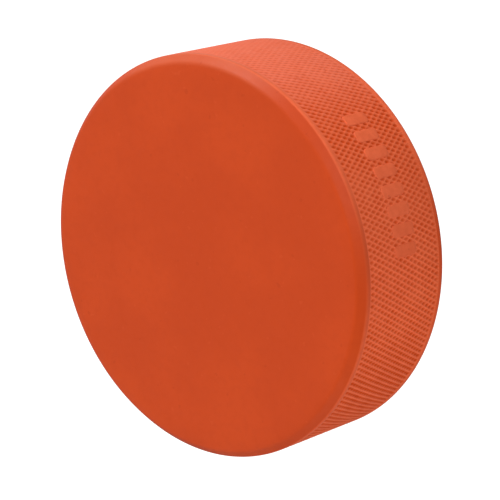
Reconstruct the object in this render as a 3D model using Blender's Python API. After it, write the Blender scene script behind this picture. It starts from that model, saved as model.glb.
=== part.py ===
"""Heavy training ice-hockey puck, regulation size, as the stack that goes into the moulding press.

Row frame: metres, +Z along the puck's axis, origin at the centre of the lower flat face,
so the puck lies on its flat face as it does on the ice. Every solid is a turned shape about Z.

  top_face_cover     rubber disc: playing face, bevelled edge, and a boss that fills the band's bore
  bottom_face_cover  the same disc the other way up
  knurled_band       rubber ring that carries the knurled edge and houses the weight
  steel_core         bevelled round steel blank that makes the puck a heavy training puck, 283 g
"""

import math

import bmesh
import bpy
from mathutils import Matrix, Vector

MM = 0.001

# Regulation size: 3 in across and 1 in thick.
PUCK_DIAMETER = 76.2 * MM
PUCK_THICKNESS = 25.4 * MM

# The edge between face and side, as the turns that its surface makes on its way out from the flat:
# (start, end, degrees), with start and end measured along the surface. It rolls off gently, turns
# into a bevel, and turns again into a narrow upright lip, which the knurl starts from.
EDGE_TURNS = (
    (0.0 * MM, 2.7 * MM, 5.0),
    (2.35 * MM, 3.65 * MM, 44.0),
    (4.4 * MM, 4.75 * MM, 4.0),
    (4.75 * MM, 5.4 * MM, 37.0),
)
EDGE_LENGTH = 5.4 * MM
EDGE_SAMPLES = 540
EDGE_FINE = math.radians(9.0)
EDGE_COARSE = 1.35 * MM

# The knurl's width down the side, between the two lips.
KNURL_WIDTH = 20.4 * MM

# The weight: a 50 mm blank cut from 9 mm plate, about 137 g in steel.
CORE_DIAMETER = 50.0 * MM
CORE_THICKNESS = 9.0 * MM
CORE_BEVEL = 1.0 * MM

# Neighbouring pieces stay this far apart: the bond line between them.
GAP = 0.3 * MM
BOSS_BEVEL = 0.8 * MM
BORE_BEVEL = 0.6 * MM

SIDES = 96

R = PUCK_DIAMETER / 2
H = PUCK_THICKNESS
MIDDLE = H / 2
CORE_R = CORE_DIAMETER / 2
BORE_R = CORE_R + GAP
BOSS_R = BORE_R - GAP
BAND_LOW = MIDDLE - KNURL_WIDTH / 2
BAND_HIGH = MIDDLE + KNURL_WIDTH / 2


def material(name, colour, roughness, metallic=0.0):
    made = bpy.data.materials.new(name)
    made.use_nodes = True
    shader = made.node_tree.nodes["Principled BSDF"]
    shader.inputs["Base Color"].default_value = (*colour, 1.0)
    shader.inputs["Roughness"].default_value = roughness
    shader.inputs["Metallic"].default_value = metallic
    made.diffuse_color = (*colour, 1.0)
    return made


def turned(name, profile, finish, parent):
    """A solid of revolution about Z. profile is a list of (radius, height); one that starts and ends
    on the axis makes a disc, and one that doesn't is closed on itself and makes a ring."""
    bm = bmesh.new()
    points = [bm.verts.new((r, 0.0, z)) for r, z in profile]
    edges = [bm.edges.new(pair) for pair in zip(points, points[1:])]
    if profile[0][0] > 0:
        edges.append(bm.edges.new((points[-1], points[0])))
    bmesh.ops.spin(
        bm,
        geom=points + edges,
        cent=(0.0, 0.0, 0.0),
        axis=(0.0, 0.0, 1.0),
        angle=math.tau,
        steps=SIDES,
        use_merge=True,
        use_duplicate=False,
    )
    bmesh.ops.remove_doubles(bm, verts=bm.verts, dist=1e-6)
    bmesh.ops.recalc_face_normals(bm, faces=bm.faces)
    mesh = bpy.data.meshes.new(name)
    bm.to_mesh(mesh)
    bm.free()
    mesh.shade_smooth()
    mesh.set_sharp_from_angle(angle=math.radians(35))
    mesh.materials.append(finish)
    made = bpy.data.objects.new(name, mesh)
    bpy.context.scene.collection.objects.link(made)
    made.parent = parent
    return made


def edge_profile():
    """(distance out, distance down) of points along the edge, from the end of the flat to the lip's
    foot, found by following the edge's turns. The points lie closer together where it turns."""

    def tilt(along):
        total = 0.0
        for start, end, degrees in EDGE_TURNS:
            t = min(max((along - start) / (end - start), 0.0), 1.0)
            total += math.radians(degrees) * t * t * (3 - 2 * t)
        return total

    step = EDGE_LENGTH / EDGE_SAMPLES
    out, down = 0.0, 0.0
    points, last_along, last_tilt = [(0.0, 0.0)], 0.0, 0.0
    for k in range(1, EDGE_SAMPLES + 1):
        middle = tilt((k - 0.5) * step)
        out += math.cos(middle) * step
        down += math.sin(middle) * step
        along = k * step
        if (
            tilt(along) - last_tilt >= EDGE_FINE
            or along - last_along >= EDGE_COARSE
            or k == EDGE_SAMPLES
        ):
            points.append((out, down))
            last_along, last_tilt = along, tilt(along)
    return points


def cover_profile():
    """Half section of a face cover, measured from the puck's middle plane upwards, from the centre of
    the face out over the edge, back under the rim and down the boss to its flat end."""
    face = H / 2
    rim_under = KNURL_WIDTH / 2 + GAP / 2
    boss_end = CORE_THICKNESS / 2 + GAP
    points = [(0.0, face)]
    edge = edge_profile()
    flat_end = R - edge[-1][0]
    points += [(flat_end + out, face - down) for out, down in edge]
    points += [
        (R, rim_under),
        (BOSS_R, rim_under),
        (BOSS_R, boss_end + BOSS_BEVEL),
        (BOSS_R - BOSS_BEVEL, boss_end),
        (0.0, boss_end),
    ]
    return points


def clear_scene():
    for old in list(bpy.data.objects):
        bpy.data.objects.remove(old, do_unlink=True)


def main():
    clear_scene()
    puck = bpy.data.objects.new("puck", None)
    bpy.context.scene.collection.objects.link(puck)

    face_rubber = material("orange_rubber", (0.62, 0.085, 0.022), 0.55)
    edge_rubber = material("orange_rubber_knurled", (0.66, 0.095, 0.030), 0.62)
    steel = material("steel", (0.48, 0.48, 0.50), 0.38, 1.0)

    # Face covers: one profile, placed once upright and once turned over about X.
    profile = cover_profile()
    top = turned("top_face_cover", profile, face_rubber, puck)
    top.location = Vector((0.0, 0.0, MIDDLE))
    bottom = turned("bottom_face_cover", profile, face_rubber, puck)
    bottom.matrix_basis = Matrix.Translation((0.0, 0.0, MIDDLE)) @ Matrix.Rotation(
        math.pi, 4, "X"
    )

    # Band: a straight ring, bevelled at both mouths of its bore.
    low, high = BAND_LOW + GAP / 2, BAND_HIGH - GAP / 2
    turned(
        "knurled_band",
        [
            (R, high),
            (R, low),
            (BORE_R + BORE_BEVEL, low),
            (BORE_R, low + BORE_BEVEL),
            (BORE_R, high - BORE_BEVEL),
            (BORE_R + BORE_BEVEL, high),
        ],
        edge_rubber,
        puck,
    )

    # Core: bevelled all round so that the rubber has no sharp corner to tear from.
    half = CORE_THICKNESS / 2
    core = turned(
        "steel_core",
        [
            (0.0, half),
            (CORE_R - CORE_BEVEL, half),
            (CORE_R, half - CORE_BEVEL),
            (CORE_R, -half + CORE_BEVEL),
            (CORE_R - CORE_BEVEL, -half),
            (0.0, -half),
        ],
        steel,
        puck,
    )
    core.location = Vector((0.0, 0.0, MIDDLE))


main()
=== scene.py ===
"""The looks of the hockey puck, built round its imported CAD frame.

Row frame: metres, +Z along the puck's axis, origin at the centre of its lower face.
Lengths named in millimetres here are turned into metres by MM as each mesh is made.
"""

import math

import bpy
import numpy as np
from mathutils import Matrix, Vector, noise


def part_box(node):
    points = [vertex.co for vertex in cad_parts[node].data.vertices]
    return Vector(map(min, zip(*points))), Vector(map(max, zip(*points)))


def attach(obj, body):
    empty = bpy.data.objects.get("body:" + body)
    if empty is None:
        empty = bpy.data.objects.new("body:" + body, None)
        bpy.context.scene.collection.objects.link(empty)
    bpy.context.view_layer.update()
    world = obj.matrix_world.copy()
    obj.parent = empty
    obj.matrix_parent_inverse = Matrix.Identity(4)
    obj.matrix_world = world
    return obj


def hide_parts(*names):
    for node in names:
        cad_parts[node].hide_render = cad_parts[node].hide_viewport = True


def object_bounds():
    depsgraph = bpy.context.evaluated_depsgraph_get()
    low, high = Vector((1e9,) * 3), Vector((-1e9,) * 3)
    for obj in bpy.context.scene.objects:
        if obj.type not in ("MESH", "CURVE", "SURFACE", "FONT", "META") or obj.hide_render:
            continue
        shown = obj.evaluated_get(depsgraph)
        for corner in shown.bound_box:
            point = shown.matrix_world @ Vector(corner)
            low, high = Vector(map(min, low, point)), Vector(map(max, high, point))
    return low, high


MM = 0.001

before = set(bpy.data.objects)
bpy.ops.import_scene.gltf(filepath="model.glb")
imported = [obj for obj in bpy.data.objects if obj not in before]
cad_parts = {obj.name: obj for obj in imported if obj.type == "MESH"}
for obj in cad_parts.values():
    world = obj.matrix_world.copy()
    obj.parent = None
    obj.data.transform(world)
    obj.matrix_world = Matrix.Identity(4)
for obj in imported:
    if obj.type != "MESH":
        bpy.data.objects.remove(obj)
cad_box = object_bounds()

# ---------------------------------------------------------------- sizes, in millimetres

_low, _high = cad_box
R = (_high.x - _low.x) / 2 / MM
HALF = (_high.z - _low.z) / 2 / MM
CORE_LOW, CORE_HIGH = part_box("steel_core")
CORE_HALF = (CORE_HIGH.z - CORE_LOW.z) / 2 / MM
BORE = (CORE_HIGH.x - CORE_LOW.x) / 2 / MM + 0.3
BOSS = BORE - 0.3

# Edge of each face, as the turns that its surface makes on its way out from the flat: (start, end, degrees),
# with start and end measured along the surface. It rolls off gently, turns into a bevel, and turns
# again into a narrow upright lip, which the knurl starts from.
TURNS = (
    (0.0, 2.7, 5.0),
    (2.35, 3.65, 44.0),
    (4.4, 4.75, 4.0),
    (4.75, 5.4, 37.0),
)
EDGE_LENGTH = 5.4
LIP_R = R - 0.02
GROOVE_R = R - 0.07
SEAM_Z = 10.04

# Knurl: two families of ridges that cross at an angle, with a sunken diamond in each mesh of the net.
RIDGES = 210
PITCH = 2 * math.pi * R / RIDGES
AXIAL = 2.06
HALF_ROWS = 9.5
DEPTH = 0.37
CROSS = 0.48
RIDGE = 0.36
# On one stretch the net is finer: its middle and half its width, then how much more even its two
# families are there, how much narrower their ridges, and how much lower.
NET_AT = 0.03
NET_HALF = 0.76
NET_EVEN = 0.38
NET_FINE = 0.08
NET_LOW = 0.42
# One stretch of the band is rubbed shallower than the rest, and painted paler there as sheen where it
# catches the light: its middle and half its width.
WORN_AND_SHEEN_AT = 1.28
WORN_AND_SHEEN_HALF = 0.72
WORN_DEPTH = 0.54
CUT = (0.0, 0.20, 0.5, 0.80)

# Plain mark in place of the lettering: a row of equal smooth bars, level with the tops of the ridges.
BARS = 8
BAR_WIDE = 2.35
BAR_TALL = 6.0
BAR_FIRST = -0.02
BAR_STEP = 0.096
BAR_Z = -0.5


# ---------------------------------------------------------------- meshes


def mesh_object(name, verts, faces, material, smooth_angle=None):
    """verts are in millimetres from the puck's centre; the object lands in the row frame."""
    mesh = bpy.data.meshes.new(name)
    placed = (np.asarray(verts, float) + (0.0, 0.0, HALF)) * MM
    mesh.from_pydata([tuple(v) for v in placed], [], faces)
    mesh.validate()
    mesh.shade_smooth()
    if smooth_angle:
        mesh.set_sharp_from_angle(angle=math.radians(smooth_angle))
    mesh.materials.append(material)
    made = bpy.data.objects.new(name, mesh)
    bpy.context.scene.collection.objects.link(made)
    return made


def ring(radius, z, angles):
    radius = np.broadcast_to(radius, angles.shape)
    z = np.broadcast_to(z, angles.shape)
    return np.stack([radius * np.cos(angles), radius * np.sin(angles), z], -1)


def strip(a, b, n):
    """Quads between ring a and ring b, which are the numbers of their first points."""
    return [(a + i, a + (i + 1) % n, b + (i + 1) % n, b + i) for i in range(n)]


def edge():
    """(distance out, distance down) of points along a face's edge, found by following its turns."""
    along = np.linspace(0, EDGE_LENGTH, 1061)
    tilt = np.zeros_like(along)
    for start, end, degrees in TURNS:
        t = np.clip((along - start) / (end - start), 0, 1)
        tilt += math.radians(degrees) * t * t * (3 - 2 * t)
    middle = (tilt[1:] + tilt[:-1]) / 2
    step = along[1] - along[0]
    out = np.concatenate([[0], np.cumsum(np.cos(middle)) * step])
    down = np.concatenate([[0], np.cumsum(np.sin(middle)) * step])
    # A point every 0.55 mm on the gentle parts, and every 4 degrees on the turns.
    kept, last = [0], 0
    for i in range(1, len(along)):
        if (
            along[i] - along[last] >= 0.55
            or abs(tilt[i] - tilt[last]) >= math.radians(4)
            or i == len(along) - 1
        ):
            kept.append(i)
            last = i
    return out[kept], down[kept]


def cover_profile():
    """(radius, height above the middle plane) from the face's centre, out over the edge, to the end of
    the boss."""
    out, down = edge()
    start = LIP_R - out[-1]
    points = [(r, HALF) for r in (6.0, 12.0, 18.0, 23.0, 27.0, 30.0, 32.0, start - 0.6)]
    points += [(start + a, HALF - d) for a, d in zip(out, down)]
    foot = HALF - down[-1]
    points += [
        (LIP_R, foot - 0.3 * (foot - SEAM_Z)),
        (LIP_R, foot - 0.7 * (foot - SEAM_Z)),
        (LIP_R - 0.02, SEAM_Z + 0.08),
        (GROOVE_R, SEAM_Z),
        (BOSS, SEAM_Z),
        (BOSS, CORE_HALF + 1.1),
        (BOSS - 0.8, CORE_HALF + 0.3),
        (8.0, CORE_HALF + 0.3),
    ]
    return points


def cover(name, flip, material):
    """A turned face cover. flip puts it on the lower side."""
    n = 420
    angles = np.linspace(0, 2 * math.pi, n, endpoint=False)
    profile = cover_profile()
    sign = -1.0 if flip else 1.0
    verts = [np.array([[0.0, 0.0, sign * HALF]])]
    for k, (r, z) in enumerate(profile):
        verts.append(ring(r, sign * z, angles))
    verts.append(np.array([[0.0, 0.0, sign * (CORE_HALF + 0.3)]]))
    verts = np.concatenate(verts)
    faces = [(0, 1 + i, 1 + (i + 1) % n) for i in range(n)]
    for k in range(len(profile) - 1):
        faces += [
            (q[0], q[3], q[2], q[1]) for q in strip(1 + k * n, 1 + (k + 1) * n, n)
        ]
    last, base = len(verts) - 1, 1 + (len(profile) - 1) * n
    faces += [(last, base + (i + 1) % n, base + i) for i in range(n)]
    if flip:
        faces = [tuple(reversed(f)) for f in faces]
    return mesh_object(name, verts, faces, material, 40)


def stretch(theta, middle, half):
    """1 at the middle of a stretch of the side, falling smoothly to 0 at half its width from it."""
    t = np.clip(np.cos(theta - middle) - math.cos(half), 0, None) / (1 - math.cos(half))
    return t * t * (3 - 2 * t)


def pit(t, ridge):
    """How far the surface has dropped at t of a pitch from a ridge's crest: 0 on it, 1 in the pit. The
    ridge's foot is at ridge of a pitch."""
    t = np.clip((t - 0.06) / (ridge - 0.06), 0, 1)
    return t * t * (3 - 2 * t)


def knurled_band(material):
    """The side band. Its outer mesh follows the two families of ridges, so that each crest and each
    pit has its own points."""
    per = len(CUT)
    around = per * RIDGES
    rows = int(per * HALF_ROWS)
    cut = np.array(CUT)

    def value(index):
        return np.floor_divide(index, per) + cut[np.mod(index, per)]

    first = np.arange(around)
    offset = np.arange(-rows, rows + 1)
    A, D = np.meshgrid(first, offset)
    a, b = value(A), value(A + D)
    x = (a + b) / 2 * PITCH
    z = (b - a) / 2 * AXIAL
    ta, tb = np.abs(a - np.round(a)), np.abs(b - np.round(b))
    theta = x / R
    # The two families are nearly even on one stretch, and the first stands out on the rest.
    net = stretch(theta, NET_AT, NET_HALF)
    cross = CROSS - NET_EVEN * net
    ridge = RIDGE - NET_FINE * net
    drop = pit(ta, ridge) * (cross + (1 - cross) * pit(tb, ridge))
    # The ridges of a moulded knurl are never quite even: their height drifts a little along the band.
    uneven = np.array(
        [
            noise.noise(Vector((math.cos(t) * 9, math.sin(t) * 9, h * 0.35)))
            for t, h in zip(theta.ravel(), z.ravel())
        ]
    ).reshape(theta.shape)
    fine = np.array(
        [
            noise.noise(Vector((math.cos(t) * 46, math.sin(t) * 46, h * 1.3)))
            for t, h in zip(theta.ravel(), z.ravel())
        ]
    ).reshape(theta.shape)
    worn = stretch(theta, WORN_AND_SHEEN_AT, WORN_AND_SHEEN_HALF)
    depth = DEPTH * (1 + 0.16 * uneven + 0.16 * fine)
    depth = depth * (1 - WORN_DEPTH * worn) * (1 - NET_LOW * net)
    r = R - depth * drop - 0.02 * np.clip(fine, 0, 1) - 0.012
    verts = [np.stack([r * np.cos(theta), r * np.sin(theta), z], -1).reshape(-1, 3)]

    def number(i, j):
        """Point number at first-family index i and offset j, wrapping round the band."""
        return (j + rows) * around + i % around

    faces = []
    for j in range(-rows, rows + 1):
        for i in range(around):
            low = number(i + 1, j - 1) if j > -rows else None
            high = number(i, j + 1) if j < rows else None
            here, across = number(i, j), number(i + 1, j)
            if low is None:
                faces.append((here, across, high))
            elif high is None:
                faces.append((here, low, across))
            else:
                faces.append((here, low, across, high))

    def outward(sign, start_ring):
        """Rings from the knurl's end over the groove and in to the bore, on one side."""
        angles = theta[-1] if sign > 0 else theta[0]
        last = r[-1] if sign > 0 else r[0]
        out, base = [], start_ring
        for radius, height in (
            (GROOVE_R + 0.35 * (last - GROOVE_R), 9.95),
            (np.full(around, GROOVE_R), SEAM_Z),
            (np.full(around, BORE + 0.6), SEAM_Z - 0.01),
            (np.full(around, BORE), SEAM_Z - 0.6),
        ):
            out.append(ring(radius, sign * height, angles))
            base += around
        return out

    grid = verts[0].shape[0]
    top = outward(1, grid)
    bottom = outward(-1, grid)
    verts += top
    verts += bottom
    top_edge, bottom_edge = number(0, rows), number(0, -rows)
    chain = [top_edge] + [grid + k * around for k in range(len(top))]
    for s, t in zip(chain, chain[1:]):
        faces += strip(s, t, around)
    under = grid + len(top) * around
    chain = [bottom_edge] + [under + k * around for k in range(len(bottom))]
    for s, t in zip(chain, chain[1:]):
        faces += [tuple(reversed(q)) for q in strip(s, t, around)]
    # The bore's wall: the lower rings start at an earlier angle, so their count is shifted to match.
    shift = rows
    s, t = grid + (len(top) - 1) * around, under + (len(bottom) - 1) * around
    for i in range(around):
        i2 = (i + 1) % around
        faces.append(
            (s + i, s + i2, t + (i2 + shift) % around, t + (i + shift) % around)
        )
    return mesh_object("knurled_side_band", np.concatenate(verts), faces, material, 60)


def bar_outline(count):
    """Outline of one bar in (along the band, up the band): a rectangle with round corners."""
    corner = 0.75
    w, h = BAR_WIDE / 2 - corner, BAR_TALL / 2 - corner
    points = []
    for cx, cz, start in ((w, h, 0), (-w, h, 90), (-w, -h, 180), (w, -h, 270)):
        for k in range(count):
            a = math.radians(start + 90 * k / (count - 1))
            points.append((cx + corner * math.cos(a), cz + corner * math.sin(a)))
    return np.array(points)


def bar(name, angle, material):
    """One smooth bar, closed, its root sunk in the band and its top following the band's curve."""
    outline = bar_outline(7)
    n = len(outline)
    verts = []
    for inset, radius in (
        (-0.03, R - 0.55),
        (-0.02, R - 0.12),
        (0.03, R - 0.03),
        (0.14, R - 0.002),
    ):
        scale = 1 - 2 * inset / np.array([BAR_WIDE, BAR_TALL])
        verts.append((outline * scale, radius))
    for share in (0.75, 0.5, 0.25):
        verts.append((verts[3][0] * share, R))
    points = []
    for flat, radius in verts:
        t = angle + flat[:, 0] / R
        points.append(
            np.stack([radius * np.cos(t), radius * np.sin(t), flat[:, 1] + BAR_Z], -1)
        )
    points.append([[(R) * math.cos(angle), (R) * math.sin(angle), BAR_Z]])
    points.append([[(R - 0.55) * math.cos(angle), (R - 0.55) * math.sin(angle), BAR_Z]])
    points = np.concatenate([np.asarray(p) for p in points])
    faces = []
    for k in range(len(verts) - 1):
        faces += strip(k * n, (k + 1) * n, n)
    centre, root = len(points) - 2, len(points) - 1
    last = (len(verts) - 1) * n
    faces += [(last + i, last + (i + 1) % n, centre) for i in range(n)]
    faces += [((i + 1) % n, i, root) for i in range(n)]
    return mesh_object(name, points, faces, material, 50)


# ---------------------------------------------------------------- materials


class Nodes:
    """Small helper that adds nodes to a material and joins them."""

    def __init__(self, name):
        self.material = bpy.data.materials.new(name)
        self.material.use_nodes = True
        self.tree = self.material.node_tree
        self.shader = self.tree.nodes["Principled BSDF"]

    def add(self, kind, settings=None, **inputs):
        node = self.tree.nodes.new(kind)
        for key, value in (settings or {}).items():
            setattr(node, key, value)
        for key, value in inputs.items():
            self.put(node, key.replace("_", " "), value)
        return node

    def put(self, node, key, value):
        socket = node.inputs[int(key)] if key.isdigit() else node.inputs[key]
        if isinstance(value, bpy.types.NodeSocket):
            self.tree.links.new(value, socket)
        else:
            socket.default_value = value

    def math(self, operation, a, b=0.0):
        node = self.add("ShaderNodeMath", {"operation": operation})
        self.put(node, "0", a)
        self.put(node, "1", b)
        return node.outputs[0]

    def span(self, value, low, high, to_low=0.0, to_high=1.0, smooth=True):
        node = self.add(
            "ShaderNodeMapRange",
            {"interpolation_type": "SMOOTHSTEP" if smooth else "LINEAR"},
        )
        for key, v in (
            ("Value", value),
            ("From Min", low),
            ("From Max", high),
            ("To Min", to_low),
            ("To Max", to_high),
        ):
            self.put(node, key, v)
        return node.outputs["Result"]

    def noise(self, vector, scale, detail=2.0, rough=0.5):
        node = self.add("ShaderNodeTexNoise")
        self.put(node, "Vector", vector)
        self.put(node, "Scale", scale)
        self.put(node, "Detail", detail)
        self.put(node, "Roughness", rough)
        return node.outputs["Fac"]

    def blend(self, factor, a, b):
        node = self.add("ShaderNodeMix", {"data_type": "RGBA"})
        self.put(node, "0", factor)
        self.put(node, "6", a)
        self.put(node, "7", b)
        return node.outputs[2]

    def bump(self, height, distance, strength=1.0, normal=None):
        node = self.add("ShaderNodeBump")
        self.put(node, "Height", height)
        self.put(node, "Distance", distance)
        self.put(node, "Strength", strength)
        if normal is not None:
            self.put(node, "Normal", normal)
        return node.outputs["Normal"]

    def millimetres(self):
        coords = self.add("ShaderNodeTexCoord")
        scaled = self.add("ShaderNodeVectorMath", {"operation": "SCALE"})
        self.put(scaled, "0", coords.outputs["Object"])
        self.put(scaled, "Scale", 1000.0)
        return scaled.outputs[0]

    def stretch(self, vector, radius, middle, half, most):
        """Up to most on a stretch of the side, given by the angle of its middle and half its width."""
        toward = self.add("ShaderNodeVectorMath", {"operation": "DOT_PRODUCT"})
        self.put(toward, "0", vector)
        self.put(toward, "1", (math.cos(middle), math.sin(middle), 0))
        turned = self.math("DIVIDE", toward.outputs["Value"], radius)
        return self.span(turned, math.cos(half), 1.0, 0.0, most)

    def radius(self, vector):
        parts = self.add("ShaderNodeSeparateXYZ")
        self.put(parts, "0", vector)
        x, y = parts.outputs[0], parts.outputs[1]
        square = self.math(
            "ADD", self.math("MULTIPLY", x, x), self.math("MULTIPLY", y, y)
        )
        return self.math("SQRT", square), parts.outputs[2]


# Linear colours, as (deep, middle, light) of the mottling.
SKIN = (
    (0.495, 0.0465, 0.0052, 1),
    (0.530, 0.0525, 0.0058, 1),
    (0.565, 0.0580, 0.0066, 1),
)
RUBBED = (
    (0.800, 0.128, 0.046, 1),
    (0.840, 0.145, 0.053, 1),
    (0.880, 0.160, 0.060, 1),
)
# Painted sheen: the paler colour of one stretch of the band, where it catches the light.
PAINTED_SHEEN = (0.810, 0.185, 0.110, 1)
# Painted sheen: the paler colour of one stretch of the face's edge.
PAINTED_EDGE_SHEEN = (0.600, 0.118, 0.050, 1)
# Painted sheen on one stretch of the edge, where it catches the light: (middle, half the width, how much).
EDGE_SHEEN = (1.45, 0.65, 0.62)
# Painted shade: the darker colour of the knurl's pits.
PAINTED_PIT_SHADE = (0.590, 0.0620, 0.0090, 1)
# Stretches of the rim that are paler, partly rubbed and partly painted sheen where the lip catches the
# light: (middle, half the width, how far).
RIM_WEAR_AND_SHEEN = ((0.92, 0.95, 0.85), (-0.95, 0.95, 0.45), (2.9, 1.1, 0.5))


def rubber(name, knurled, gloss, dull, rubbed=0.0):
    """Orange moulded rubber: faint mottling, a few specks, a dull skin with a fine grain. On the knurl
    the crests are rubbed paler, the pits are painted darker as shade in the hollows, and one stretch has
    a painted sheen. rubbed is how far the outermost skin is rubbed all round, on top of the stretches of
    the rim that are paler, partly rubbed and partly painted sheen. The face's edge has a painted sheen
    on one stretch."""
    m = Nodes(name)
    where = m.millimetres()
    r, z = m.radius(where)

    deep, mid, light = SKIN if not knurled else RUBBED
    colour = m.blend(m.span(m.noise(where, 0.055, 3.0), 0.35, 0.65), mid, light)
    colour = m.blend(
        m.span(m.noise(where, 0.55, 3.0, 0.6), 0.42, 0.70, 0.0, 0.30), colour, deep
    )
    patchy = m.span(m.noise(where, 0.25, 3.0, 0.6), 0.3, 0.7, 0.75, 1.0)
    if knurled:
        # Painted sheen on one stretch of the band, where it catches the light.
        painted_sheen = m.stretch(where, r, WORN_AND_SHEEN_AT, WORN_AND_SHEEN_HALF, 0.75)
        # Painted shade in the pits: they are darker than the crests, which are rubbed paler in patches.
        crest = m.span(r, R - 0.26, R - 0.03)
        colour = m.blend(m.math("MULTIPLY", painted_sheen, patchy), colour, PAINTED_SHEEN)
        worn = m.span(m.noise(where, 0.9, 4.0, 0.65), 0.3, 0.7, 0.82, 1.0)
        colour = m.blend(m.math("MULTIPLY", crest, worn), PAINTED_PIT_SHADE, colour)
    else:
        # The rim of the face is rubbed paler as the crests are, and on some stretches it is paler still,
        # partly from rubbing and partly as painted sheen where the lip catches the light.
        rim = m.span(r, R - 0.26, R - 0.03)
        share = rubbed + 0.15
        for middle, half, most in RIM_WEAR_AND_SHEEN:
            share = m.math("ADD", share, m.stretch(where, r, middle, half, most))
        worn = m.span(m.noise(where, 0.8, 4.0, 0.65), 0.3, 0.7, 0.75, 1.0)
        worn = m.math("MULTIPLY", m.math("MINIMUM", share, 0.95), worn)
        colour = m.blend(m.math("MULTIPLY", rim, worn), colour, RUBBED[1])
        # Painted sheen on the edge's bevel, beside the painted sheen on the band.
        reach = m.math(
            "MULTIPLY", m.stretch(where, r, *EDGE_SHEEN), m.span(r, R - 2.2, R - 1.0)
        )
        colour = m.blend(m.math("MULTIPLY", reach, patchy), colour, PAINTED_EDGE_SHEEN)
    speck = m.span(m.noise(where, 0.62, 1.0), 0.735, 0.775, 0.0, 0.22)
    colour = m.blend(speck, colour, (0.38, 0.028, 0.002, 1))
    pale = m.span(m.noise(where, 0.85, 1.0, 0.4), 0.735, 0.78, 0.0, 0.16)
    colour = m.blend(pale, colour, (0.66, 0.100, 0.028, 1))
    m.put(m.shader, "Base Color", colour)
    rough = m.span(m.noise(where, 0.7, 4.0, 0.6), 0.3, 0.7, dull - 0.05, dull + 0.05)
    m.put(m.shader, "Roughness", rough)
    # The pits of the knurl hold dust and are duller than its crests.
    shine = m.span(r, R - 0.30, R - 0.04, 0.3 * gloss, 1.1 * gloss) if knurled else gloss
    m.put(m.shader, "Specular IOR Level", shine)
    grain = m.noise(where, 7.0, 3.0, 0.6)
    wave = m.noise(where, 0.22, 2.0)
    normal = m.bump(wave, 0.00012, 0.4)
    normal = m.bump(grain, 0.00001, 0.5, normal)
    m.put(m.shader, "Normal", normal)
    return m.material


def steel(name):
    """Cut steel blank: turned rings on its faces, a little mill scale, and a dull sheen."""
    m = Nodes(name)
    where = m.millimetres()
    r, z = m.radius(where)
    rings = m.noise(m.add("ShaderNodeCombineXYZ", X=m.math("MULTIPLY", r, 6.0)).outputs[0], 1.0, 3.0)
    scale = m.span(m.noise(where, 0.35, 5.0, 0.65), 0.45, 0.75)
    colour = m.blend(
        m.math("MULTIPLY", scale, 0.5), (0.50, 0.50, 0.52, 1), (0.17, 0.16, 0.16, 1)
    )
    m.put(m.shader, "Base Color", colour)
    m.put(m.shader, "Metallic", 1.0)
    m.put(m.shader, "Roughness", m.span(rings, 0.3, 0.7, 0.28, 0.48))
    m.put(m.shader, "Normal", m.bump(rings, 0.00002, 0.4))
    return m.material


# ---------------------------------------------------------------- the puck

face_rubber = rubber("orange_rubber_face", False, 0.22, 0.46)
bar_rubber = rubber("orange_rubber_bar", False, 0.22, 0.48, 0.6)
band_rubber = rubber("orange_rubber_knurl", True, 0.18, 0.54)

top = cover("upper_face", False, face_rubber)
bottom = cover("lower_face", True, face_rubber)
band = knurled_band(band_rubber)
bars = [
    bar(f"plain_bar_{k + 1}", BAR_FIRST + k * BAR_STEP, bar_rubber)
    for k in range(BARS)
]

for piece, node, slot in (
    (top, "top_face_cover", "orange_rubber"),
    (bottom, "bottom_face_cover", "orange_rubber"),
    (band, "knurled_band", "orange_rubber_knurled"),
):
    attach(piece, "root")
    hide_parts(node)
for piece in bars:
    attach(piece, "root")

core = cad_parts["steel_core"]
core.data.materials.clear()
core.data.materials.append(steel("cut_steel"))

# ---------------------------------------------------------------- camera

# The camera's pose from the puck's own frame: where the puck's centre is and how its axis leans.
FOCAL = 2307.30 / 500 * 36
CENTRE = Vector((-0.96440, -0.68290, 435.3500)) * MM
LEAN_X, LEAN_Y = -0.73370, 0.19570
axis = Vector(
    (
        math.sin(LEAN_X) * math.cos(LEAN_Y),
        math.sin(LEAN_Y),
        -math.cos(LEAN_X) * math.cos(LEAN_Y),
    )
)
side = axis.cross(Vector((0, 1, 0))).normalized()
up = axis.cross(side)
puck_to_view = Matrix((side, up, axis)).transposed().to_4x4()
puck_to_view.translation = CENTRE - axis * HALF * MM
flip = Matrix.Diagonal((1, -1, -1, 1))

camera = bpy.data.objects.new("camera", bpy.data.cameras.new("camera"))
bpy.context.scene.collection.objects.link(camera)
camera.data.lens = FOCAL
camera.data.sensor_width = 36
camera.data.clip_start, camera.data.clip_end = 0.01, 20
camera.matrix_world = (flip @ puck_to_view).inverted()
bpy.context.scene.camera = camera

# ---------------------------------------------------------------- floor and light


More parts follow.
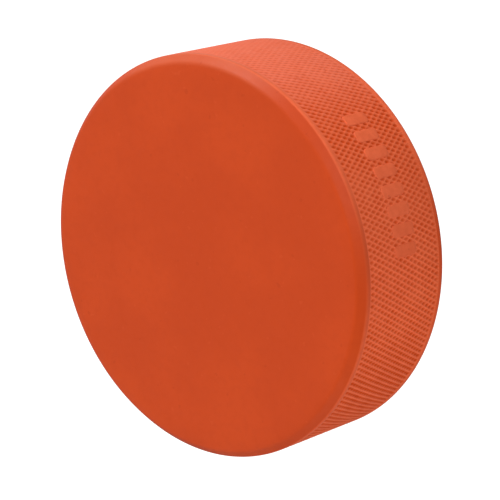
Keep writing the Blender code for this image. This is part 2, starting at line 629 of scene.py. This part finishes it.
def floor():
    """Pale floor that shows from above only, so that the puck's underside can be looked at. It is seen
    as white, and it glows more on some sides of the puck than on others, as a lit table does."""
    mesh = bpy.data.meshes.new("floor")
    s, low = 4.0, -0.0001
    mesh.from_pydata(
        [(-s, -s, low), (s, -s, low), (s, s, low), (-s, s, low)], [], [(0, 1, 2, 3)]
    )
    m = Nodes("pale_floor")
    m.put(m.shader, "Base Color", (FLOOR_PALE, FLOOR_PALE, FLOOR_PALE, 1))
    m.put(m.shader, "Roughness", 0.9)
    m.put(m.shader, "Specular IOR Level", 0.1)
    m.put(m.shader, "Emission Color", (1, 1, 1, 1))
    where = m.add("ShaderNodeTexCoord").outputs["Object"]
    unit = m.add("ShaderNodeVectorMath", {"operation": "NORMALIZE"})
    m.put(unit, "0", where)
    length = m.add("ShaderNodeVectorMath", {"operation": "LENGTH"})
    m.put(length, "0", where)
    # Under the puck the glow is even, and lights the underside: its sides start beyond the edge.
    out = length.outputs["Value"]
    clear_of_puck = m.span(out, R * MM, 1.8 * R * MM)
    glow = m.span(out, 0.90 * R * MM, 0.99 * R * MM, FLOOR_UNDER, FLOOR_GLOW)
    for azimuth, strength in FLOOR_SIDES:
        a = math.radians(azimuth)
        dot = m.add("ShaderNodeVectorMath", {"operation": "DOT_PRODUCT"})
        m.put(dot, "0", unit.outputs[0])
        m.put(dot, "1", (math.cos(a), math.sin(a), 0))
        lobe = m.math("POWER", m.math("MAXIMUM", dot.outputs["Value"], 0.0), 3.0)
        lobe = m.math("MULTIPLY", lobe, clear_of_puck)
        glow = m.math("ADD", glow, m.math("MULTIPLY", lobe, strength))
    seen = m.add("ShaderNodeLightPath").outputs["Is Camera Ray"]
    m.put(m.shader, "Emission Strength", m.span(seen, 0.0, 1.0, glow, 1.2, False))
    clear = m.add("ShaderNodeBsdfTransparent")
    mix = m.add("ShaderNodeMixShader")
    back = m.add("ShaderNodeNewGeometry").outputs["Backfacing"]
    m.put(mix, "0", back)
    m.put(mix, "1", m.shader.outputs[0])
    m.put(mix, "2", clear.outputs[0])
    output = m.tree.nodes["Material Output"]
    m.tree.links.new(mix.outputs[0], output.inputs["Surface"])
    mesh.materials.append(m.material)
    made = bpy.data.objects.new("floor", mesh)
    bpy.context.scene.collection.objects.link(made)
    return made


def area(name, azimuth, elevation, distance, size, watts, fill=False):
    """An area light aimed at the puck. Azimuth is counted from +X towards +Y. A fill light only
    lightens the rubber, and leaves no highlight on it."""
    data = bpy.data.lights.new(name, "AREA")
    data.shape = "RECTANGLE"
    data.size, data.size_y = size
    data.energy = watts
    made = bpy.data.objects.new(name, data)
    made.visible_glossy = not fill
    a, e = math.radians(azimuth), math.radians(elevation)
    way = Vector((math.cos(a) * math.cos(e), math.sin(a) * math.cos(e), math.sin(e)))
    target = Vector((0, 0, HALF * MM))
    made.location = target + way * distance
    made.rotation_mode = "QUATERNION"
    made.rotation_quaternion = (-way).to_track_quat("-Z", "Y")
    bpy.context.scene.collection.objects.link(made)
    return made


def studio(ambient, azimuth, elevation, shade):
    """A white room, seen as white. It adds an even light, weaker towards one side of the room."""
    world = bpy.data.worlds.new("studio")
    world.use_nodes = True
    tree = world.node_tree
    background = tree.nodes["Background"]
    background.inputs["Color"].default_value = (1, 1, 1, 1)
    seen = tree.nodes.new("ShaderNodeLightPath").outputs["Is Camera Ray"]
    a, e = math.radians(azimuth), math.radians(elevation)
    where = tree.nodes.new("ShaderNodeTexCoord").outputs["Generated"]
    dot = tree.nodes.new("ShaderNodeVectorMath")
    dot.operation = "DOT_PRODUCT"
    dot.inputs[1].default_value = (
        math.cos(a) * math.cos(e),
        math.sin(a) * math.cos(e),
        math.sin(e),
    )
    tree.links.new(where, dot.inputs[0])
    side = tree.nodes.new("ShaderNodeMapRange")
    side.interpolation_type = "SMOOTHSTEP"
    side.inputs["From Min"].default_value = 0.2
    side.inputs["To Min"].default_value = ambient
    side.inputs["To Max"].default_value = ambient * (1 - shade)
    tree.links.new(dot.outputs["Value"], side.inputs["Value"])
    span = tree.nodes.new("ShaderNodeMapRange")
    tree.links.new(side.outputs["Result"], span.inputs["To Min"])
    span.inputs["To Max"].default_value = 1.0
    tree.links.new(seen, span.inputs["Value"])
    tree.links.new(span.outputs["Result"], background.inputs["Strength"])
    bpy.context.scene.world = world
    return world


FLOOR_PALE = 0.05
FLOOR_GLOW = 0.18
FLOOR_UNDER = 0.85
FLOOR_SIDES = ((110, 0.42), (-10, 0.24))
floor()
studio(0.56, -35, 25, 0.6)
area("key", 99, 20, 1.0, (0.4, 0.55), 3.8)
area("high", 110, 48, 1.0, (0.4, 0.4), 3.5, True)
area("side", 27, 29, 1.0, (0.6, 0.6), 2.5)
area("right", -10, 4, 1.0, (0.4, 0.4), 2.4, True)
area("low", 280, 20, 1.0, (0.4, 0.4), 4.0, True)

bpy.context.scene.view_settings.view_transform = "Standard"
